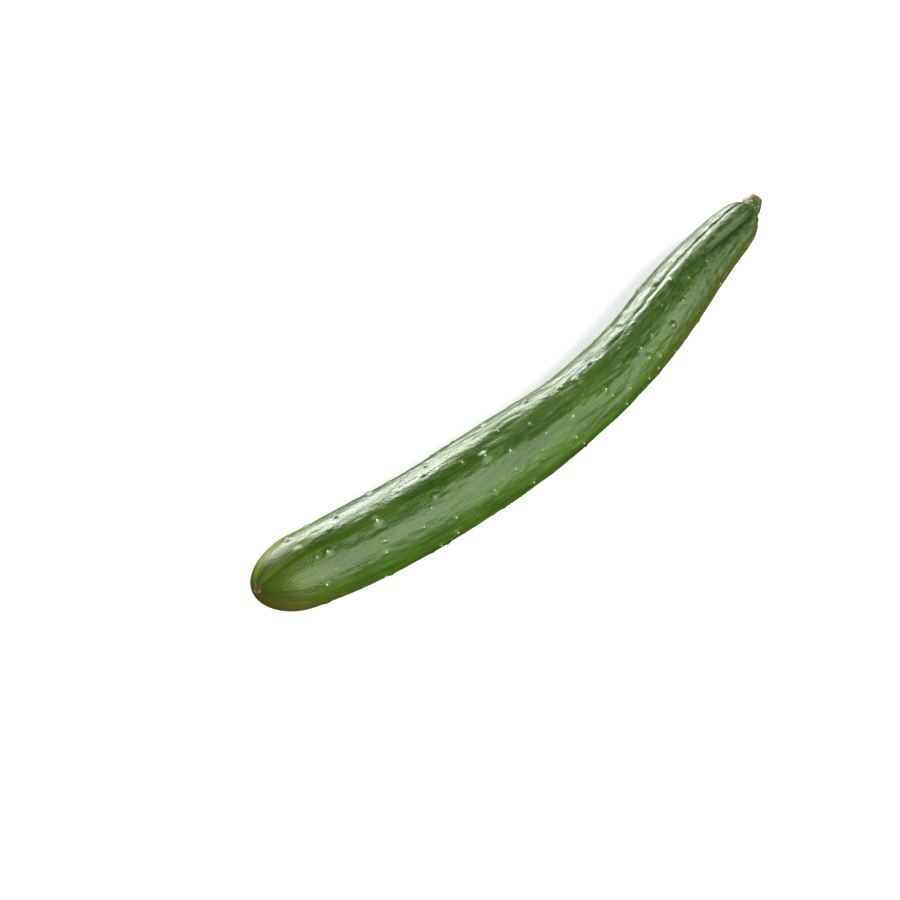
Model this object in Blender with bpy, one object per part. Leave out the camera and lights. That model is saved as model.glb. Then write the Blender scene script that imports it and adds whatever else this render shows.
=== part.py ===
"""A slicing cucumber as picked: the fruit and the short stub of stem that it was cut with.

Metres, +Z up. The cucumber lies on its side along X on the plane z = 0, with the stem end
towards +X and the outside of its bend towards -Y. The origin is on that plane, under the
middle of the whole thing.

Both pieces are first turned about a straight axis, on which X is the distance from the
blossom tip. Then every vertex is carried over to the fruit's bent middle line.
"""

import bisect
from math import atan2, cos, pi, radians, sin, sqrt, tan

import bmesh
import bpy
from mathutils import Vector

# Fruit, measured along its middle line
LENGTH = 0.2218  # from the blossom tip to the seat of the stem
BLOSSOM_DIAMETER = 0.0196  # where the blossom end starts to close
BELLY_DIAMETER = 0.0250  # widest, before the bend
MIDDLE_DIAMETER = 0.0221  # past the bend
NECK_DIAMETER = 0.0173  # where the stem end starts to close
BLOSSOM_DOME = 0.014  # length over which the blossom end rounds off
SHOULDER = 0.015  # length over which the stem end rounds in
BEND = radians(48)  # between the directions of the blossom end and of the stem half
NECK_LIFT = 0.0032  # how far the underside is off the table at the stem end
LIFT_LENGTH = 0.075  # over which the neck rises to that

# Ribs, which run down from the stem and fade out on the body
RIBS = 8
RIB_DEPTH = 0.0007
RIB_LENGTH = 0.085

# Stem stub: a five-cornered stalk on a wider foot, which leans back and has a sloping cut
STEM_LENGTH = 0.0062  # along its middle, from the foot to the cut
STEM_FOOT_DIAMETER = 0.0080
STEM_DIAMETER = 0.0062
STEM_FOOT_HEIGHT = 0.0024
STEM_CORNERS = 5
STEM_CORNER_DEPTH = 0.0004
STEM_LEAN = radians(19)  # towards the inside of the bend
STEM_CUT = radians(46)
STEM_CLEARANCE = 0.0003  # between the stalk's foot and its seat on the fruit

# Girths of the fruit, each with its place as a share of the length
GIRTHS = (
    (0.00, BLOSSOM_DIAMETER),
    (0.14, (BLOSSOM_DIAMETER + 3 * BELLY_DIAMETER) / 4),
    (0.34, BELLY_DIAMETER),
    (0.60, MIDDLE_DIAMETER),
    (0.77, MIDDLE_DIAMETER),
    (0.94, NECK_DIAMETER),
    (1.00, NECK_DIAMETER),
)
# Share of the bend turned by each place; the last stretch straightens out a little
TURNS = (
    (0.00, 0.00),
    (0.08, 0.33),
    (0.25, 0.57),
    (0.45, 0.70),
    (0.62, 0.885),
    (0.78, 1.00),
    (1.00, 0.87),
)

# Fineness of the meshes
SIDES = 48
BLOSSOM_RINGS = 8
BODY_RINGS = 36
SHOULDER_RINGS = 7
STEM_SIDES = 20
LINE_STEPS = 300


def clear_scene():
    for obj in list(bpy.data.objects):
        bpy.data.objects.remove(obj, do_unlink=True)


def through(stations, place):
    """A smooth value through (place, value) stations."""
    places = [station[0] for station in stations]
    i = min(max(bisect.bisect_right(places, place), 1), len(places) - 1)
    (a, low), (b, high) = stations[i - 1], stations[i]
    before = stations[max(i - 2, 0)]
    after = stations[min(i + 1, len(stations) - 1)]
    start = (high - before[1]) / (b - before[0]) * (b - a)
    end = (after[1] - low) / (after[0] - a) * (b - a)
    t = min(max((place - a) / (b - a), 0.0), 1.0)
    curve = 3 * (high - low) - 2 * start - end, start + end - 2 * (high - low)
    return low + start * t + curve[0] * t**2 + curve[1] * t**3


def ease(t):
    """0 up to 0, 1 from 1 on, and a smooth S between."""
    t = min(max(t, 0.0), 1.0)
    return t * t * (3 - 2 * t)


def dome(distance, length):
    """Share of the full radius, at a distance from the end of a stretch that rounds off."""
    t = min(max(distance / length, 0.0), 1.0)
    return sqrt(1 - (1 - t) ** 2)


def body_radius(s):
    """Radius at a distance from the blossom tip, leaving out how the ends close."""
    return through(GIRTHS, s / LENGTH) / 2


def fruit_radius(s):
    seat = STEM_FOOT_DIAMETER / 2
    shoulder = dome(LENGTH - s, SHOULDER)
    return (seat + (body_radius(s) - seat) * shoulder) * dome(s, BLOSSOM_DOME)


def rib_factor(s, angle):
    """The ribs as a share of the radius: 1 on a crest and less in a groove."""
    fade = ease(1 - (LENGTH - s) / RIB_LENGTH) * dome(LENGTH - s, SHOULDER)
    depth = RIB_DEPTH / body_radius(s) * fade
    return 1 - depth * (1 + cos(RIBS * angle)) / 2


def middle_line():
    """Points and headings of the middle line in plan, with its ends level on X."""
    headings = [BEND * through(TURNS, i / LINE_STEPS) for i in range(LINE_STEPS + 1)]
    points = [Vector((0, 0))]
    for heading in headings[1:]:
        step = Vector((cos(heading), sin(heading))) * LENGTH / LINE_STEPS
        points.append(points[-1] + step)
    chord = atan2(points[-1].y, points[-1].x)
    for point in points:
        point.xy = (
            point.x * cos(chord) + point.y * sin(chord),
            point.y * cos(chord) - point.x * sin(chord),
        )
    return points, [heading - chord for heading in headings]


def carry(co, line):
    """Takes a point from the straight axis to the same place about the bent middle line."""
    points, headings = line
    s = min(max(co.x, 0.0), LENGTH)
    i = min(int(s / LENGTH * LINE_STEPS), LINE_STEPS - 1)
    share = s / LENGTH * LINE_STEPS - i
    heading = headings[i] + (headings[i + 1] - headings[i]) * share
    point = points[i].lerp(points[i + 1], share)
    past = co.x - s
    lift = NECK_LIFT * ease(1 - (LENGTH - s) / LIFT_LENGTH)
    return Vector(
        (
            point.x + past * cos(heading) - co.y * sin(heading),
            point.y + past * sin(heading) + co.y * cos(heading),
            body_radius(s) + lift + co.z,
        )
    )


def turned(outline, sides):
    """A closed solid from an outline of (x, radius) points that starts and ends on X."""
    mesh = bmesh.new()
    verts = [mesh.verts.new((x, 0, -radius)) for x, radius in outline]
    edges = [mesh.edges.new(pair) for pair in zip(verts, verts[1:])]
    bmesh.ops.spin(
        mesh,
        geom=verts + edges,
        cent=(0, 0, 0),
        axis=(1, 0, 0),
        angle=2 * pi,
        steps=sides,
        use_merge=True,
    )
    bmesh.ops.remove_doubles(mesh, verts=mesh.verts[:], dist=1e-6)
    return mesh


def finished(mesh, name, colour, roughness):
    """The shaded object, with its faces out, shaded smooth except at real corners."""
    bmesh.ops.recalc_face_normals(mesh, faces=mesh.faces[:])
    data = bpy.data.meshes.new(name)
    mesh.to_mesh(data)
    mesh.free()
    data.shade_smooth()
    data.set_sharp_from_angle(angle=radians(40))
    material = bpy.data.materials.new(name)
    material.use_nodes = True
    shader = material.node_tree.nodes["Principled BSDF"]
    shader.inputs["Base Color"].default_value = (*colour, 1)
    shader.inputs["Roughness"].default_value = roughness
    shader.inputs["Metallic"].default_value = 0.0
    data.materials.append(material)
    obj = bpy.data.objects.new(name, data)
    bpy.context.scene.collection.objects.link(obj)
    return obj


def ring_places():
    """Distances of the fruit's rings, which close up towards both of its rounded ends."""
    body = LENGTH - BLOSSOM_DOME - SHOULDER
    blossom = [1 - cos(pi / 2 * i / BLOSSOM_RINGS) for i in range(BLOSSOM_RINGS)]
    shoulder = [1 - sin(pi / 2 * i / SHOULDER_RINGS) for i in range(SHOULDER_RINGS + 1)]
    return (
        [BLOSSOM_DOME * share for share in blossom]
        + [BLOSSOM_DOME + body * i / BODY_RINGS for i in range(BODY_RINGS)]
        + [LENGTH - SHOULDER * share for share in shoulder]
    )


def fruit(line):
    outline = [(s, fruit_radius(s)) for s in ring_places()]
    mesh = turned(outline + [(LENGTH, 0)], SIDES)
    for vert in mesh.verts:
        vert.co.yz *= rib_factor(vert.co.x, atan2(vert.co.y, vert.co.z))
        vert.co = carry(vert.co, line)
    return finished(mesh, "fruit", (0.030, 0.098, 0.010), 0.32)


def stem_stub(line):
    foot, stalk = STEM_FOOT_DIAMETER / 2, STEM_DIAMETER / 2
    start = LENGTH + STEM_CLEARANCE
    outline = [
        (0, 0),
        (0, foot),
        (STEM_FOOT_HEIGHT / 3, foot),
        (STEM_FOOT_HEIGHT, stalk),
        ((STEM_FOOT_HEIGHT + STEM_LENGTH) / 2, stalk),
        (STEM_LENGTH, stalk),
        (STEM_LENGTH, 0),
    ]
    mesh = turned(outline, STEM_SIDES)
    for vert in mesh.verts:
        share = vert.co.x / STEM_LENGTH
        hollow = (1 - cos(STEM_CORNERS * atan2(vert.co.y, vert.co.z))) / 2
        vert.co.yz *= 1 - STEM_CORNER_DEPTH / stalk * hollow * share
        vert.co.x -= vert.co.y * tan(STEM_CUT) * share
        vert.co.y += vert.co.x * tan(STEM_LEAN) * share
        vert.co.x += start
        vert.co = carry(vert.co, line)
    return finished(mesh, "stem_stub", (0.330, 0.250, 0.110), 0.7)


clear_scene()
axis = middle_line()
pieces = [fruit(axis), stem_stub(axis)]

# The origin goes under the middle of the whole thing
corners = [vert.co for piece in pieces for vert in piece.data.vertices]
middle = [(min(co[i] for co in corners) + max(co[i] for co in corners)) / 2 for i in (0, 1)]
lowest = min(co.z for co in corners)
for piece in pieces:
    for vert in piece.data.vertices:
        vert.co -= Vector((*middle, lowest))
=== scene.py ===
"""A slicing cucumber on a pale table: its skin with ribs, wrinkles and warts, the prickles on
the warts, the scar where the flower fell off, and the stub of stem that it was cut with."""

import random
from math import atan2, cos, exp, hypot, pi, radians, sin, sqrt, tan

import bmesh
import bpy
from mathutils import Matrix, Vector, kdtree, noise


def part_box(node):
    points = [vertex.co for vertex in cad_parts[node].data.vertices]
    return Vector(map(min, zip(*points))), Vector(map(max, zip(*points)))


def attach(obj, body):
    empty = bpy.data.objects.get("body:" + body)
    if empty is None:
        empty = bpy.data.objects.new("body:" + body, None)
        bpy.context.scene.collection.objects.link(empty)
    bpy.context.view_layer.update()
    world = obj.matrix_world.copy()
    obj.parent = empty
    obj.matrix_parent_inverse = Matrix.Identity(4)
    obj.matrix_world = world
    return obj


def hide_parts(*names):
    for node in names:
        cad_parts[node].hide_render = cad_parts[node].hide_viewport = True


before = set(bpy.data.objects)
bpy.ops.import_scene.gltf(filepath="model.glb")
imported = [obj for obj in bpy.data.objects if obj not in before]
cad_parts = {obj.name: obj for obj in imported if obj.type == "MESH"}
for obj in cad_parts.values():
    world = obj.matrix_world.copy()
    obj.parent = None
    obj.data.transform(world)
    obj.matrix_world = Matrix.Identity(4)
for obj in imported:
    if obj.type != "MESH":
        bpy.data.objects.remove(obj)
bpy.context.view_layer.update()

# ---------------------------------------------------------------------------------------------
# Fruit skin
# The whole outside of the cucumber, a waxy green rind grown in one piece over the flesh. Nine
# grooves run down from the stem and fade out on the body, which is wrinkled along its length
# and set with low warts.
# ---------------------------------------------------------------------------------------------

LENGTH = 0.2218  # along the middle line, from the blossom tip to the seat of the stem
BLOSSOM_DIAMETER = 0.0196  # where the blossom end starts to close
BELLY_DIAMETER = 0.0250  # widest, before the bend
MIDDLE_DIAMETER = 0.0221  # past the bend
NECK_DIAMETER = 0.0173  # where the stem end starts to close
STEM_FOOT_DIAMETER = 0.0080
BLOSSOM_DOME = 0.014  # length over which the blossom end rounds off
SHOULDER = 0.015  # length over which the stem end rounds in
BEND = radians(48)  # between the directions of the blossom end and of the stem half
NECK_LIFT = 0.0032  # how far the underside is off the table at the stem end
LIFT_LENGTH = 0.075  # over which the neck rises to that
# Girths, each with its place as a share of the length
GIRTHS = (
    (0.00, BLOSSOM_DIAMETER),
    (0.14, (BLOSSOM_DIAMETER + 3 * BELLY_DIAMETER) / 4),
    (0.34, BELLY_DIAMETER),
    (0.60, MIDDLE_DIAMETER),
    (0.77, MIDDLE_DIAMETER),
    (0.94, NECK_DIAMETER),
    (1.00, NECK_DIAMETER),
)
# Share of the bend turned by each place; the last stretch straightens out a little
TURNS = (
    (0.00, 0.00),
    (0.08, 0.33),
    (0.25, 0.57),
    (0.45, 0.70),
    (0.62, 0.885),
    (0.78, 1.00),
    (1.00, 0.87),
)
SKIN_SIDES = 240
BLOSSOM_RINGS = 26
BODY_RINGS = 320
SHOULDER_RINGS = 26
LINE_STEPS = 450

# Heights of the relief, from broad lumps down to grit
LUMP_HEIGHT = 0.00034
RIPPLE_HEIGHT = 0.00036
FOLD_HEIGHT = 0.00023
CREASE_DEPTH = 0.00008
WRINKLE_HEIGHT = 0.00005
MORE_WRINKLE = 0.00007  # added to that, times how uneven the skin is
GRIT_HEIGHT = 0.000045

# Soft lengthwise crests and hollows: angle, half width, height, start and end
SWELLS = (
    (radians(4), radians(14), 0.00042, 0.004, 0.090),
    (radians(12), radians(14), -0.00032, 0.080, 0.160),
    (radians(80), radians(18), 0.00040, 0.060, 0.150),
    (radians(150), radians(20), -0.00035, 0.020, 0.120),
    (radians(215), radians(18), 0.00040, 0.050, 0.160),
    (radians(300), radians(16), -0.00030, 0.030, 0.130),
)
# Grooves: angle from the top towards the outside of the bend, half width, depth, reach and
# how far they turn over the last stretch
GROOVES = (
    (radians(-17), radians(4), 0.00034, 0.110, radians(4)),
    (radians(10), radians(12), 0.00120, 0.095, radians(22)),
    (radians(51), radians(5), 0.00040, 0.090, radians(6)),
    (radians(80), radians(10), 0.00075, 0.075, radians(4)),
    (radians(140), radians(10), 0.00090, 0.085, radians(-4)),
    (radians(176), radians(9), 0.00075, 0.060, radians(3)),
    (radians(212), radians(9), 0.00085, 0.095, radians(-5)),
    (radians(262), radians(8), 0.00080, 0.075, radians(5)),
    (radians(305), radians(6), 0.00070, 0.080, radians(-3)),
)
GROOVE_TURN_LENGTH = 0.045
GROOVE_END_LENGTH = 0.012  # over which they get shallower at the stem
GROOVE_FULL = 0.001  # depth that the material takes as 1
SCAR_OFF_AXIS = (-0.0036, 0.0032)  # across, minus being the outside of the bend, and up
SCAR_PULL_LENGTH = 0.022  # over which the skin's lines swing round to the blossom scar
WART_ROWS = 12
WARTS_PER_ROW = 21
WART_START = 0.05  # as a share of the length
WART_STRETCH = 0.82  # as a share of the length
WART_HEIGHT = 0.00050
WART_RADIUS = 0.0018
WART_MOAT = 0.10  # depth of the hollow round a wart, as a share of its height
TABLE_GAP = 0.00002  # least height of the skin over the table

RIND_DARK = (0.021, 0.052, 0.0009, 1)
RIND_GREEN = (0.035, 0.078, 0.0018, 1)
RIND_BRIGHT = (0.060, 0.125, 0.0040, 1)
RAY_YELLOW = (0.15, 0.21, 0.016, 1)
TIP_REFLECTION = (0.078, 0.055, 0.003, 1)
FLECK_PALE = (0.13, 0.22, 0.030, 1)
WART_HIGHLIGHT = (0.12, 0.19, 0.060, 1)
GROOVE_SHADE = (0.012, 0.038, 0.0020, 1)
NECK_SHADE = (0.014, 0.036, 0.0020, 1)
BLOOM_AND_SHEEN = (0.080, 0.112, 0.060, 1)
FRINGE_REFLECTION = (0.065, 0.064, 0.006, 1)


def through(stations, place):
    """A smooth value through (place, value) stations."""
    last = len(stations) - 1
    i = next((k for k in range(1, last) if place < stations[k][0]), last)
    (a, low), (b, high) = stations[i - 1], stations[i]
    before, after = stations[max(i - 2, 0)], stations[min(i + 1, last)]
    start = (high - before[1]) / (b - before[0]) * (b - a)
    end = (after[1] - low) / (after[0] - a) * (b - a)
    t = min(max((place - a) / (b - a), 0.0), 1.0)
    curve = 3 * (high - low) - 2 * start - end, start + end - 2 * (high - low)
    return low + start * t + curve[0] * t**2 + curve[1] * t**3


def ease(t):
    """0 up to 0, 1 from 1 on, and a smooth S between."""
    t = min(max(t, 0.0), 1.0)
    return t * t * (3 - 2 * t)


def dome(distance, length):
    """Share of the full radius, at a distance from the end of a stretch that rounds off."""
    t = min(max(distance / length, 0.0), 1.0)
    return sqrt(1 - (1 - t) ** 2)


def body_radius(s):
    """Radius at a distance from the blossom tip, leaving out how the ends close."""
    return through(GIRTHS, s / LENGTH) / 2


def fruit_radius(s):
    seat = STEM_FOOT_DIAMETER / 2
    shoulder = dome(LENGTH - s, SHOULDER)
    return (seat + (body_radius(s) - seat) * shoulder) * dome(s, BLOSSOM_DOME)


def middle_line():
    """Points and headings of the bent middle line in plan, with its ends level on X."""
    headings = [BEND * through(TURNS, i / LINE_STEPS) for i in range(LINE_STEPS + 1)]
    points = [Vector((0, 0))]
    for heading in headings[1:]:
        step = Vector((cos(heading), sin(heading))) * LENGTH / LINE_STEPS
        points.append(points[-1] + step)
    chord = atan2(points[-1].y, points[-1].x)
    turn = Matrix.Rotation(-chord, 2)
    return [turn @ point for point in points], [heading - chord for heading in headings]


LINE_POINTS, LINE_HEADINGS = middle_line()


def carry(co):
    """Takes a point from the straight axis to the same place about the bent middle line."""
    s = min(max(co.x, 0.0), LENGTH)
    i = min(int(s / LENGTH * LINE_STEPS), LINE_STEPS - 1)
    share = s / LENGTH * LINE_STEPS - i
    heading = LINE_HEADINGS[i] + (LINE_HEADINGS[i + 1] - LINE_HEADINGS[i]) * share
    point = LINE_POINTS[i].lerp(LINE_POINTS[i + 1], share)
    past = co.x - s
    lift = NECK_LIFT * ease(1 - (LENGTH - s) / LIFT_LENGTH)
    return Vector(
        (
            point.x + past * cos(heading) - co.y * sin(heading),
            point.y + past * sin(heading) + co.y * cos(heading),
            body_radius(s) + lift + co.z,
        )
    )


def turned(outline, sides):
    """A closed surface from an outline of (x, radius) points that starts and ends on X."""
    mesh = bmesh.new()
    verts = [mesh.verts.new((x, 0, -radius)) for x, radius in outline]
    edges = [mesh.edges.new(pair) for pair in zip(verts, verts[1:])]
    bmesh.ops.spin(
        mesh,
        geom=verts + edges,
        cent=(0, 0, 0),
        axis=(1, 0, 0),
        angle=2 * pi,
        steps=sides,
        use_merge=True,
    )
    bmesh.ops.remove_doubles(mesh, verts=mesh.verts[:], dist=1e-6)
    bmesh.ops.recalc_face_normals(mesh, faces=mesh.faces[:])
    return mesh


def piece(mesh, name, material):
    """A smooth-shaded object in the scene, with its place in its mesh."""
    data = bpy.data.meshes.new(name)
    mesh.to_mesh(data)
    mesh.free()
    data.shade_smooth()
    data.materials.append(material)
    made = bpy.data.objects.new(name, data)
    bpy.context.scene.collection.objects.link(made)
    return made


def skin_places():
    """Distances of the skin's rings, which close up towards both of its rounded ends."""
    body = LENGTH - BLOSSOM_DOME - SHOULDER
    blossom = [1 - cos(pi / 2 * i / BLOSSOM_RINGS) for i in range(BLOSSOM_RINGS)]
    shoulder = [1 - sin(pi / 2 * i / SHOULDER_RINGS) for i in range(SHOULDER_RINGS + 1)]
    return (
        [BLOSSOM_DOME * share for share in blossom]
        + [BLOSSOM_DOME + body * i / BODY_RINGS for i in range(BODY_RINGS)]
        + [LENGTH - SHOULDER * share for share in shoulder]
    )


def skin_angle(co):
    """Angle from the top towards the outside of the bend, about the axis or, near it, the scar."""
    pull = ease(1 - co.x / SCAR_PULL_LENGTH)
    return atan2(SCAR_OFF_AXIS[0] * pull - co.y, co.z - SCAR_OFF_AXIS[1] * pull)


def unrolled(s, angle, along, around):
    """Where a point of the skin falls in a noise that is `along` and `around` times finer."""
    radius = BELLY_DIAMETER / 2
    return Vector((s * along, cos(angle) * radius * around, sin(angle) * radius * around))


def between(angle, other):
    """The turn from one angle to another, the short way round."""
    return (angle - other + pi) % (2 * pi) - pi


def groove_depth(s, angle):
    depth = 0.0
    to_stem = LENGTH - s
    for at, width, deepest, reach, turn in GROOVES:
        wander = 0.05 * noise.noise(Vector((s * 30, at, 0)))
        wander += turn * ease(1 - to_stem / GROOVE_TURN_LENGTH)
        off = between(angle, at + wander)
        fade = ease(1 - to_stem / reach) * (0.8 + 0.2 * ease(to_stem / GROOVE_END_LENGTH))
        depth += deepest * fade * exp(-((off / width) ** 2))
    return depth


def relief(s, angle):
    """How far the skin stands out from the smooth form, warts left out."""
    # Each noise is read at a place of its own along X, so that no two of them line up
    lump = noise.noise(unrolled(s, angle, 26, 55))
    ripple = noise.noise(unrolled(s + 0.7, angle, 35, 170))
    fold = noise.noise(unrolled(s + 0.3, angle, 80, 340))
    crease = max(0.0, 1 - 5 * abs(noise.noise(unrolled(s + 1.9, angle, 75, 300))))
    wrinkle = noise.noise(unrolled(s + 2.3, angle, 240, 760))
    grit = noise.noise(unrolled(s + 3.1, angle, 800, 800))
    # Most uneven halfway, and fading out at both ends
    share = s / LENGTH
    uneven = 0.45 + 0.75 * ease((share - 0.2) / 0.2) - 0.75 * ease((share - 0.62) / 0.2)
    ends = ease(s / 0.02) * ease((LENGTH - s) / 0.01)
    rise = LUMP_HEIGHT * lump * ease(s / 0.03) * ease((LENGTH - s) / 0.03)
    rise += uneven * ends * (RIPPLE_HEIGHT * ripple + FOLD_HEIGHT * fold - CREASE_DEPTH * crease)
    rise += ends * ((WRINKLE_HEIGHT + MORE_WRINKLE * uneven) * wrinkle + GRIT_HEIGHT * grit)
    for at, width, height, start, end in SWELLS:
        wander = 0.06 * noise.noise(Vector((s * 25, at + 5, 0)))
        off = between(angle, at + wander)
        fade = ease((s - start) / 0.025) * ease((end - s) / 0.025)
        rise += height * fade * exp(-((off / width) ** 2))
    return rise - groove_depth(s, angle)


# The smooth form lands where the CAD fruit is
skin_mesh = turned([(s, fruit_radius(s)) for s in skin_places()] + [(LENGTH, 0)], SKIN_SIDES)
straight = [vert.co.copy() for vert in skin_mesh.verts]
for vert in skin_mesh.verts:
    vert.co = carry(vert.co)
fruit_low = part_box("fruit")[0]
SHIFT = Vector([fruit_low[i] - min(vert.co[i] for vert in skin_mesh.verts) for i in range(3)])
for vert in skin_mesh.verts:
    vert.co += SHIFT
skin_mesh.normal_update()
normals = [vert.normal.copy() for vert in skin_mesh.verts]
for vert, co, normal in zip(skin_mesh.verts, straight, normals):
    vert.co += normal * relief(co.x, skin_angle(co))

# Warts in uneven rows, thinning out towards the neck, many of them tiny
random.seed(11)
warts = []
for row in range(WART_ROWS):
    for step in range(WARTS_PER_ROW):
        place = WART_START + WART_STRETCH * (step + random.random()) / WARTS_PER_ROW
        angle = (row + random.uniform(-0.46, 0.46)) * 2 * pi / WART_ROWS
        size = random.triangular(0.3, 1.25, 0.45)
        height = size * random.triangular(0.4, 1.4, 0.8)
        if random.random() > 0.90 - 0.75 * ease((place - 0.55) / 0.35):
            continue
        warts.append((place * LENGTH, angle, size, height))

skin_points = kdtree.KDTree(len(straight))
for vert in skin_mesh.verts:
    skin_points.insert(vert.co, vert.index)
skin_points.balance()
# How near each place is to a wart's top, for the painted highlight round each wart
wart_highlight = [0.0] * len(straight)
wart_tops = []
skin_mesh.verts.ensure_lookup_table()
for s, angle, size, height in warts:
    radius = fruit_radius(s)
    centre = carry(Vector((s, -radius * sin(angle), radius * cos(angle)))) + SHIFT
    found = skin_points.find_range(centre, WART_RADIUS * size * 1.6)
    for co, index, distance in found:
        share = distance / (WART_RADIUS * size)
        knob = max(0.0, 1 - share**2) ** 2
        moat = WART_MOAT * exp(-(((share - 1.15) / 0.25) ** 2))
        skin_mesh.verts[index].co += normals[index] * WART_HEIGHT * height * (knob - moat)
        wart_highlight[index] = max(wart_highlight[index], max(0.0, 1 - share) ** 1.5)
    top = min(found, key=lambda entry: entry[2])[1]
    wart_tops.append((skin_mesh.verts[top].co.copy(), normals[top].copy(), size))
# No wart or swell reaches down through the table
for vert in skin_mesh.verts:
    vert.co.z = max(vert.co.z, TABLE_GAP)

# What the skin's material reads: the place before bending, the warts' painted highlights and the
# grooves
place_layer = skin_mesh.verts.layers.float_vector.new("straight")
wart_highlight_layer = skin_mesh.verts.layers.float.new("wart")
groove_layer = skin_mesh.verts.layers.float.new("groove")
for vert, co, near in zip(skin_mesh.verts, straight, wart_highlight):
    angle = skin_angle(co)
    vert[place_layer] = unrolled(co.x, angle, 1, 1)
    vert[wart_highlight_layer] = near
    vert[groove_layer] = groove_depth(co.x, angle) / GROOVE_FULL


def put(tree, kind, inputs=None, **settings):
    """Adds a shader node, with its settings and with values or links on its inputs."""
    made = tree.nodes.new("ShaderNode" + kind)
    for key, value in settings.items():
        setattr(made, key, value)
    for key, value in (inputs or {}).items():
        if isinstance(value, bpy.types.NodeSocket):
            tree.links.new(value, made.inputs[key])
        else:
            made.inputs[key].default_value = value
    return made


def mix(tree, share, first, second):
    """The colour between two colours, where share is 0 for the first and 1 for the second."""
    made = put(tree, "Mix", {0: share, 6: first, 7: second}, data_type="RGBA")
    return made.outputs[2]


def sum_of(tree, first, second):
    return put(tree, "Math", {0: first, 1: second}, operation="ADD").outputs[0]


def product(tree, first, second, clamp=False):
    made = put(tree, "Math", {0: first, 1: second}, operation="MULTIPLY", use_clamp=clamp)
    return made.outputs[0]


def mix_values(tree, share, first, second):
    """The number between two numbers, where share is 0 for the first and 1 for the second."""
    return put(tree, "Mix", {0: share, 2: first, 3: second}).outputs[0]


def ramp(tree, value, low, high, start=0.0, end=1.0):
    """Value from low..high brought smoothly to start..end."""
    made = put(
        tree,
        "MapRange",
        {"Value": value, "From Min": low, "From Max": high, "To Min": start, "To Max": end},
        interpolation_type="SMOOTHSTEP",
    )
    return made.outputs["Result"]


def grain_group():
    """Streaks drawn out along X: Vector in metres, Fineness per metre, Stretch below 1."""
    group = bpy.data.node_groups.new("drawn_out_grain", "ShaderNodeTree")
    for name, kind, value in (
        ("Vector", "NodeSocketVector", None),
        ("Fineness", "NodeSocketFloat", 500.0),
        ("Stretch", "NodeSocketFloat", 0.15),
        ("Detail", "NodeSocketFloat", 2.0),
    ):
        made = group.interface.new_socket(name, in_out="INPUT", socket_type=kind)
        if value is not None:
            made.default_value = value
    group.interface.new_socket("Grain", in_out="OUTPUT", socket_type="NodeSocketFloat")
    ins = group.nodes.new("NodeGroupInput")
    outs = group.nodes.new("NodeGroupOutput")
    scale = put(group, "CombineXYZ", {0: ins.outputs["Stretch"], 1: 1.0, 2: 1.0})
    drawn = put(
        group, "VectorMath", {0: ins.outputs["Vector"], 1: scale.outputs[0]}, operation="MULTIPLY"
    )
    texture = put(
        group,
        "TexNoise",
        {
            "Vector": drawn.outputs[0],
            "Scale": ins.outputs["Fineness"],
            "Detail": ins.outputs["Detail"],
        },
    )
    group.links.new(texture.outputs[0], outs.inputs["Grain"])
    return group


GRAIN = grain_group()


def grain(tree, vector, fineness, stretch, detail):
    made = tree.nodes.new("ShaderNodeGroup")
    made.node_tree = GRAIN
    tree.links.new(vector, made.inputs["Vector"])
    made.inputs["Fineness"].default_value = fineness
    made.inputs["Stretch"].default_value = stretch
    made.inputs["Detail"].default_value = detail
    return made.outputs["Grain"]


def new_material(name):
    """A material, its node tree and its Principled shader."""
    material = bpy.data.materials.new(name)
    material.use_nodes = True
    tree = material.node_tree
    return material, tree, tree.nodes["Principled BSDF"]


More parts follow.
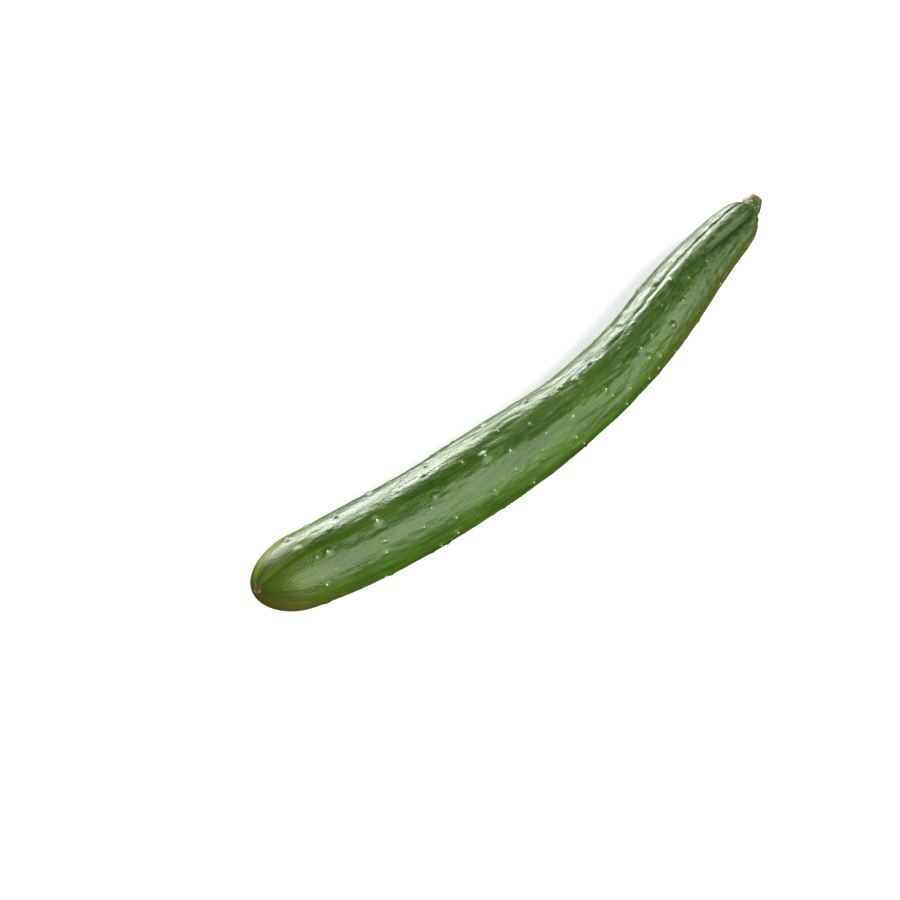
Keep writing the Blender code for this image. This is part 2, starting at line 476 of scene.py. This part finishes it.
def skin_material():
    material, tree, shader = new_material("waxy_green_rind")
    place = put(tree, "Attribute", attribute_name="straight").outputs["Vector"]
    wart = put(tree, "Attribute", attribute_name="wart").outputs["Fac"]
    groove = put(tree, "Attribute", attribute_name="groove").outputs["Fac"]
    parts = put(tree, "SeparateXYZ", {0: place})
    along, up, outward = parts.outputs["X"], parts.outputs["Y"], parts.outputs["Z"]
    blotch = grain(tree, place, 150.0, 0.35, 3.0)
    streak = grain(tree, place, 520.0, 0.12, 3.0)
    thread = grain(tree, place, 1500.0, 0.12, 2.0)
    pebble = grain(tree, place, 1900.0, 0.70, 1.0)

    # Dark green in soft streaks, a brighter green between them
    tone = mix_values(tree, 0.28, mix_values(tree, 0.5, blotch, streak), thread)
    colour = mix(tree, ramp(tree, tone, 0.38, 0.58), RIND_DARK, RIND_GREEN)
    colour = mix(tree, ramp(tree, tone, 0.53, 0.68, 0.0, 0.6), colour, RIND_BRIGHT)

    # Yellow-green rays run out from the blossom scar, and the tip's underside has a painted olive
    # reflection
    ray = ramp(tree, grain(tree, place, 240.0, 0.16, 2.0), 0.40, 0.64, 0.15, 1.0)
    ray = product(tree, ray, ramp(tree, along, 0.029, 0.002))
    ray = product(tree, ray, ramp(tree, outward, 0.007, -0.003, 0.12, 0.78))
    colour = mix(tree, ray, colour, RAY_YELLOW)
    under_tip = ramp(tree, up, 0.007, -0.005, 0.15, 0.8)
    under_tip = product(tree, ramp(tree, along, 0.034, 0.002), under_tip)
    colour = mix(tree, under_tip, colour, TIP_REFLECTION)

    # Small pale flecks, most of them in the lighter blotches
    flecks = put(tree, "TexVoronoi", {"Vector": place, "Scale": 560.0, "Randomness": 1.0})
    dot = ramp(tree, flecks.outputs["Distance"], 0.24, 0.10, 0.0, 0.40)
    dot = product(tree, dot, ramp(tree, blotch, 0.42, 0.62))
    colour = mix(tree, dot, colour, FLECK_PALE)

    # Painted highlight, lighter on each wart, and painted shade, darker down the grooves
    colour = mix(tree, product(tree, wart, 0.45), colour, WART_HIGHLIGHT)
    colour = mix(tree, product(tree, groove, 0.65, clamp=True), colour, GROOVE_SHADE)

    # Painted shade, darker towards the stem, under a grey bloom that the grooves have less of
    colour = mix(tree, ramp(tree, along, 0.120, 0.215, 0.0, 0.45), colour, NECK_SHADE)
    # The grey of the wax bloom is partly real and partly a painted sheen
    bloom_and_sheen = ramp(tree, grain(tree, place, 700.0, 0.5, 4.0), 0.38, 0.66)
    bloom_and_sheen = product(tree, bloom_and_sheen, ramp(tree, along, 0.135, 0.190, 0.05, 0.60))
    # Less bloom in the grooves keeps their painted shade dark
    shaded_groove = product(tree, groove, 0.8, clamp=True)
    bloom_and_sheen = product(tree, bloom_and_sheen, mix_values(tree, shaded_groove, 1.0, 0.0))
    colour = mix(tree, bloom_and_sheen, colour, BLOOM_AND_SHEEN)

    # A painted olive reflection in a fringe along the outside of the bend, towards the stem
    reflected_fringe = ramp(tree, outward, 0.0095, 0.0124, 0.0, 0.50)
    reflected_fringe = product(tree, reflected_fringe, ramp(tree, along, 0.120, 0.170))
    colour = mix(tree, reflected_fringe, colour, FRINGE_REFLECTION)
    tree.links.new(colour, shader.inputs["Base Color"])

    # Waxy, duller under the bloom and where the middle is worn
    worn = ramp(tree, along, 0.165, 0.125, 0.0, 0.09)
    worn = product(tree, ramp(tree, along, 0.050, 0.085), worn)
    dullness = sum_of(tree, ramp(tree, streak, 0.3, 0.7, 0.31, 0.44), product(tree, bloom_and_sheen, 0.35))
    tree.links.new(sum_of(tree, dullness, worn), shader.inputs["Roughness"])
    shader.inputs["IOR"].default_value = 1.45
    shader.inputs["Coat Weight"].default_value = 0.06
    shader.inputs["Coat Roughness"].default_value = 0.22

    height = mix_values(tree, 0.5, mix_values(tree, 0.5, thread, streak), pebble)
    bump = put(tree, "Bump", {"Height": height, "Strength": 1.0, "Distance": 0.00019})
    tree.links.new(bump.outputs[0], shader.inputs["Normal"])
    return material


skin = piece(skin_mesh, "fruit_skin", skin_material())
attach(skin, "root")
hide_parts("fruit")

# ---------------------------------------------------------------------------------------------
# Prickles
# A short, blunt, glassy white spine on top of each wart, which rubs off easily. They are grown
# from the skin, so each stands in it by its foot.
# ---------------------------------------------------------------------------------------------

PRICKLE_RADIUS = 0.00036
PRICKLE_HEIGHT = 0.00036
PRICKLE_TAPER = 0.45
PRICKLE_GREEN = (0.26, 0.32, 0.17, 1)
PRICKLE_WHITE = (0.46, 0.51, 0.38, 1)

prickle_mesh = bmesh.new()
random.seed(5)
for top, normal, size in wart_tops:
    tall = PRICKLE_HEIGHT * random.uniform(0.5, 1.1) * (0.45 + 0.55 * size)
    wide = PRICKLE_RADIUS * random.uniform(0.7, 1.1) * (0.45 + 0.55 * size)
    lean = Vector([random.uniform(-0.35, 0.35) for _ in range(3)])
    # None stand where the cucumber rests, and some of the others have rubbed off
    if top.z < 2 * PRICKLE_HEIGHT or random.random() > 0.3 + 0.6 * size:
        continue
    aim = (normal + lean).normalized()
    made = bmesh.ops.create_uvsphere(prickle_mesh, u_segments=8, v_segments=6, radius=1.0)
    stand = Matrix.Translation(top) @ aim.to_track_quat("Z", "Y").to_matrix().to_4x4()
    for vert in made["verts"]:
        girth = wide * (1 - PRICKLE_TAPER * max(vert.co.z, 0.0))
        vert.co = stand @ Vector((vert.co.x * girth, vert.co.y * girth, vert.co.z * tall))


def prickle_material():
    material, tree, shader = new_material("glassy_white_spine")
    place = put(tree, "TexCoord").outputs["Object"]
    shade = put(tree, "TexNoise", {"Vector": place, "Scale": 2600.0, "Detail": 1.0}).outputs[0]
    colour = mix(tree, ramp(tree, shade, 0.35, 0.65), PRICKLE_GREEN, PRICKLE_WHITE)
    tree.links.new(colour, shader.inputs["Base Color"])
    tree.links.new(ramp(tree, shade, 0.3, 0.7, 0.45, 0.25), shader.inputs["Roughness"])
    return material


prickles = piece(prickle_mesh, "prickles", prickle_material())
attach(prickles, "root")

# ---------------------------------------------------------------------------------------------
# Blossom scar
# The dried, corky patch at the far tip where the flower withered and dropped off. It is a thin
# crust with a raised, ragged rim, grown into the skin.
# ---------------------------------------------------------------------------------------------

SCAR_RADIUS = 0.0015
SCAR_RISE = 0.00024
SCAR_DEPTH = 0.0014  # how far the crust's foot is below the skin
SCAR_EDGE = 0.0006  # how far the outline dips into the skin past the rim
SCAR_SIDES = 56
SCAR_RINGS = 18
CORK_DARK = (0.060, 0.034, 0.008, 1)
CORK_BROWN = (0.190, 0.100, 0.040, 1)
CORK_PALE = (0.420, 0.260, 0.180, 1)


def scar_material():
    material, tree, shader = new_material("dry_brown_cork")
    place = put(tree, "TexCoord").outputs["Object"]
    crumbs = put(tree, "TexNoise", {"Vector": place, "Scale": 1400.0, "Detail": 4.0}).outputs[0]
    cells = put(tree, "TexVoronoi", {"Vector": place, "Scale": 2600.0}).outputs["Distance"]
    colour = mix(tree, ramp(tree, crumbs, 0.35, 0.62), CORK_DARK, CORK_BROWN)
    colour = mix(tree, ramp(tree, crumbs, 0.60, 0.72), colour, CORK_PALE)
    tree.links.new(colour, shader.inputs["Base Color"])
    tree.links.new(ramp(tree, crumbs, 0.3, 0.7, 0.85, 0.55), shader.inputs["Roughness"])
    height = sum_of(tree, crumbs, product(tree, cells, 0.5))
    bump = put(tree, "Bump", {"Height": height, "Strength": 0.7, "Distance": 0.0002})
    tree.links.new(bump.outputs[0], shader.inputs["Normal"])
    return material


# A bump in the middle, a raised rim, and then an edge that runs down into the skin
scar_outline = []
for i in range(SCAR_RINGS + 1):
    share = i / SCAR_RINGS
    rise = 0.55 + 0.45 * exp(-(((share - 0.72) / 0.16) ** 2)) + 0.30 * exp(-((share / 0.16) ** 2))
    dip = SCAR_EDGE * ease((share - 0.74) / 0.26)
    scar_outline.append((dip - SCAR_RISE * rise, SCAR_RADIUS * share))
scar_mesh = turned(scar_outline + [(SCAR_DEPTH, SCAR_RADIUS), (SCAR_DEPTH, 0)], SCAR_SIDES)
inward = Vector((cos(LINE_HEADINGS[0]), sin(LINE_HEADINGS[0]), 0))
for vert in scar_mesh.verts:
    crumb = noise.noise(vert.co * 1500) * 0.00014 + noise.noise(vert.co * 600) * 0.00020
    out = min(1.0, hypot(vert.co.y, vert.co.z) / SCAR_RADIUS * 2)
    ragged = 1 + 0.16 * noise.noise(Vector((0, vert.co.y, vert.co.z)).normalized() * 2.3)
    y = vert.co.y * ragged + SCAR_OFF_AXIS[0]
    z = vert.co.z * ragged + SCAR_OFF_AXIS[1]
    fall = BLOSSOM_DOME * (1 - sqrt(1 - (y * y + z * z) / (BLOSSOM_DIAMETER / 2) ** 2))
    vert.co = carry(Vector((0, y, z))) + SHIFT + inward * (vert.co.x + crumb * out + fall)
bmesh.ops.recalc_face_normals(scar_mesh, faces=scar_mesh.faces[:])
scar = piece(scar_mesh, "blossom_scar", scar_material())
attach(scar, "root")

# ---------------------------------------------------------------------------------------------
# Stalk
# The stub of the stem that the cucumber hung by: five-cornered and green, with small pale
# bumps, wider where it joins the fruit, and cut across with a knife, so its end has dried pale.
# ---------------------------------------------------------------------------------------------

STALK_LENGTH = 0.0077
STALK_RADIUS = 0.0035
STALK_FLARE = 0.0007
STALK_FLARE_LENGTH = 0.0010
STALK_CORNERS = 5
STALK_CORNER_DEPTH = 0.0005
STALK_LEAN = radians(19)  # towards the inside of the bend
STALK_CUT = radians(32)
STALK_CUT_UP = radians(5)
STALK_CLEARANCE = 0.0003  # from the seat on the smooth form to where the length starts
STALK_SUNK = 0.0010  # how far its foot goes down past there, into the skin
STALK_ROUGHNESS = 0.00010
STALK_SIDES = 110
STALK_RINGS = 44
CUT_RIM = 0.00120  # radius of the rounded rim
CUT_EDGE = STALK_RADIUS - CUT_RIM
CUT_BAND = 0.0007  # what lies this near the end, inside the rim, is the cut
CUT_DISH = 0.00045  # depth of the dished cut
CUT_PITH = 0.0004  # height of the pith in its middle
RIM_RINGS = 6
CUT_RINGS = 12
DRIED_SKEW = 0.24  # how much further down the dried top reaches on the inside of the bend
KNOBS = 34
KNOB_RADIUS = 0.00075
KNOB_HEIGHT = 0.00026

STALK_DARK = (0.022, 0.042, 0.003, 1)
STALK_GREEN = (0.060, 0.088, 0.012, 1)
FIBRE_PALE = (0.100, 0.120, 0.032, 1)
STALK_FOOT = (0.026, 0.050, 0.006, 1)
DRIED_BEIGE = (0.330, 0.205, 0.130, 1)
KNOB_PALE = (0.240, 0.290, 0.120, 1)
CUT_DARK = (0.30, 0.17, 0.105, 1)
CUT_PALE = (0.44, 0.29, 0.20, 1)
CUT_STAIN = (0.26, 0.12, 0.07, 1)


def stalk_material():
    material, tree, shader = new_material("green_stalk_skin")
    place = put(tree, "TexCoord").outputs["Object"]
    cloud = put(tree, "TexNoise", {"Vector": place, "Scale": 420.0, "Detail": 3.0}).outputs[0]
    fibre = grain(tree, place, 1500.0, 0.12, 3.0)
    knob = put(tree, "Attribute", attribute_name="knob").outputs["Fac"]
    top = put(tree, "Attribute", attribute_name="top").outputs["Fac"]
    colour = mix(tree, ramp(tree, cloud, 0.40, 0.60), STALK_DARK, STALK_GREEN)
    colour = mix(tree, ramp(tree, fibre, 0.54, 0.74, 0.0, 0.40), colour, FIBRE_PALE)
    colour = mix(tree, ramp(tree, top, 0.05, 0.50), STALK_FOOT, colour)
    colour = mix(tree, ramp(tree, top, 0.62, 0.98, 0.0, 0.90), colour, DRIED_BEIGE)
    colour = mix(tree, product(tree, knob, 0.9, clamp=True), colour, KNOB_PALE)
    tree.links.new(colour, shader.inputs["Base Color"])
    tree.links.new(ramp(tree, fibre, 0.3, 0.7, 0.60, 0.75), shader.inputs["Roughness"])
    bump = put(tree, "Bump", {"Height": fibre, "Strength": 0.4, "Distance": 0.00015})
    tree.links.new(bump.outputs[0], shader.inputs["Normal"])
    return material


def cut_material():
    material, tree, shader = new_material("dried_stalk_cut")
    place = put(tree, "TexCoord").outputs["Object"]
    pith = put(tree, "TexVoronoi", {"Vector": place, "Scale": 2300.0}).outputs["Distance"]
    cloud = put(tree, "TexNoise", {"Vector": place, "Scale": 700.0, "Detail": 3.0}).outputs[0]
    colour = mix(tree, ramp(tree, pith, 0.15, 0.5), CUT_DARK, CUT_PALE)
    colour = mix(tree, ramp(tree, cloud, 0.50, 0.66, 0.0, 0.6), colour, CUT_STAIN)
    tree.links.new(colour, shader.inputs["Base Color"])
    tree.links.new(ramp(tree, cloud, 0.3, 0.7, 0.70, 0.88), shader.inputs["Roughness"])
    bump = put(tree, "Bump", {"Height": pith, "Strength": 0.6, "Distance": 0.00018})
    tree.links.new(bump.outputs[0], shader.inputs["Normal"])
    return material


# From the foot up the flared side, over the rim and across the cut to its pith
stalk_outline = [(-STALK_SUNK, 0)]
for i in range(STALK_RINGS + 1):
    x = (STALK_LENGTH - CUT_RIM + STALK_SUNK) * (i / STALK_RINGS) ** 1.3 - STALK_SUNK
    flare = STALK_FLARE * exp(-(x + STALK_CLEARANCE) / STALK_FLARE_LENGTH)
    stalk_outline.append((x, STALK_RADIUS + min(flare, STALK_FLARE * 1.8)))
for i in range(1, RIM_RINGS + 1):
    turn = pi / 2 * i / RIM_RINGS
    x = STALK_LENGTH - CUT_RIM * (1 - sin(turn))
    stalk_outline.append((x, STALK_RADIUS - CUT_RIM * (1 - cos(turn))))
for i in range(1, CUT_RINGS + 1):
    share = 1 - i / CUT_RINGS
    dish = CUT_DISH * (1 - share**2) - CUT_PITH * exp(-((share / 0.22) ** 2))
    stalk_outline.append((STALK_LENGTH - dish, CUT_EDGE * share))
stalk_mesh = turned(stalk_outline, STALK_SIDES)
for face in stalk_mesh.faces:
    middle = face.calc_center_median()
    across = hypot(middle.y, middle.z)
    face.material_index = int(middle.x > STALK_LENGTH - CUT_BAND and across < CUT_EDGE * 1.02)

random.seed(23)
knobs = [
    (random.uniform(0.12, 0.86) * STALK_LENGTH, random.uniform(-pi, pi), random.uniform(0.6, 1.2))
    for _ in range(KNOBS)
]
# What the stalk's material reads: the knobs, and how near a place is to the top
knob_layer = stalk_mesh.verts.layers.float.new("knob")
top_layer = stalk_mesh.verts.layers.float.new("top")
for vert in stalk_mesh.verts:
    share = min(max(vert.co.x / STALK_LENGTH, 0.0), 1.0)
    angle = atan2(vert.co.y, vert.co.z)
    radius = hypot(vert.co.y, vert.co.z)
    knob = 0.0
    if radius > CUT_EDGE:
        for x, at, size in knobs:
            off = hypot(vert.co.x - x, radius * between(angle, at))
            knob = max(knob, 1 - (off / (KNOB_RADIUS * size)) ** 2)
    vert[knob_layer] = knob**3
    vert[top_layer] = share + DRIED_SKEW * sin(angle)
    hollow = (1 - cos(STALK_CORNERS * angle)) / 2
    rough = noise.noise(Vector((vert.co.x * 250, vert.co.y * 900, vert.co.z * 900)))
    rise = KNOB_HEIGHT * knob**2 + STALK_ROUGHNESS * rough - STALK_CORNER_DEPTH * hollow * share
    vert.co.yz *= 1 + rise / STALK_RADIUS
    vert.co.x -= (vert.co.y * tan(STALK_CUT) + vert.co.z * tan(STALK_CUT_UP)) * share
    vert.co.y += vert.co.x * tan(STALK_LEAN) * share
    vert.co.x += LENGTH + STALK_CLEARANCE
    vert.co = carry(vert.co) + SHIFT
stalk = piece(stalk_mesh, "stalk", stalk_material())
stalk.data.materials.append(cut_material())
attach(stalk, "root")
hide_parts("stem_stub")

# ---------------------------------------------------------------------------------------------
# Table
# A plain matt white tabletop, much wider than the cucumber, which lies loose on it. The waxy
# skin doesn't mirror it.
# ---------------------------------------------------------------------------------------------

TABLE_RADIUS = 2.3

table_mesh = bmesh.new()
bmesh.ops.create_circle(table_mesh, cap_ends=True, segments=96, radius=TABLE_RADIUS)
table_material, _, table_shader = new_material("matt_white_table")
table_shader.inputs["Base Color"].default_value = (0.94, 0.94, 0.94, 1)
table_shader.inputs["Roughness"].default_value = 0.9
table_shader.inputs["Specular IOR Level"].default_value = 0.2
table = piece(table_mesh, "table", table_material)
table.visible_glossy = False

# ---------------------------------------------------------------------------------------------
# Studio
# A large soft light to the camera's right, a low bright window beyond the cucumber on the left
# and a dim room, in front of a white backdrop. The camera looks down from the blossom end.
# ---------------------------------------------------------------------------------------------

CAMERA_TURN = radians(43.05)
CAMERA_HEIGHT = radians(53)
CAMERA_DISTANCE = 0.408
CAMERA_LENS = 52.4
CAMERA_AIM = Vector((-0.0344, 0.01395, 0.0))
ROOM_DARK = (0.04, 0.04, 0.04, 1)  # what the skin's shine reflects
ROOM_FILL = (0.22, 0.22, 0.22, 1)
BACKDROP = (0.95, 0.95, 0.95, 1)


def panel(name, aim, distance, width, height, radiance, colour):
    """A rectangular light seen from the origin along aim, as bright as radiance all over."""
    data = bpy.data.lights.new(name, "AREA")
    data.shape = "RECTANGLE"
    data.size = width
    data.size_y = height
    data.energy = radiance * pi * width * height
    data.color = colour
    lamp = bpy.data.objects.new(name, data)
    lamp.location = Vector(aim).normalized() * distance
    lamp.rotation_euler = Vector(aim).to_track_quat("Z", "Y").to_euler()
    lamp.visible_camera = False
    bpy.context.scene.collection.objects.link(lamp)


panel(
    "soft_light",
    aim=(0.10, -0.78, 0.54),
    distance=2.5,
    width=6.0,
    height=2.4,
    radiance=4.9,
    colour=(1.0, 1.0, 0.96),
)
panel(
    "low_window",
    aim=(0.30, 0.95, 0.235),
    distance=2.5,
    width=3.1,
    height=0.90,
    radiance=19.0,
    colour=(1.0, 1.0, 1.0),
)

world = bpy.data.worlds.new("room")
bpy.context.scene.world = world
world.use_nodes = True
room_tree = world.node_tree
path = put(room_tree, "LightPath")
room_colour = mix(room_tree, path.outputs["Is Diffuse Ray"], ROOM_DARK, ROOM_FILL)
room_colour = mix(room_tree, path.outputs["Is Camera Ray"], room_colour, BACKDROP)
room_tree.links.new(room_colour, room_tree.nodes["Background"].inputs["Color"])

forward = Vector((sin(CAMERA_TURN), cos(CAMERA_TURN), 0))
back = forward * -cos(CAMERA_HEIGHT) + Vector((0, 0, sin(CAMERA_HEIGHT)))
camera_data = bpy.data.cameras.new("camera")
camera_data.lens = CAMERA_LENS
camera = bpy.data.objects.new("camera", camera_data)
camera.location = CAMERA_AIM + back * CAMERA_DISTANCE
camera.rotation_euler = back.to_track_quat("Z", "Y").to_euler()
bpy.context.scene.collection.objects.link(camera)
bpy.context.scene.camera = camera
bpy.context.scene.view_settings.view_transform = "Standard"
bpy.context.scene.view_settings.look = "Medium High Contrast"
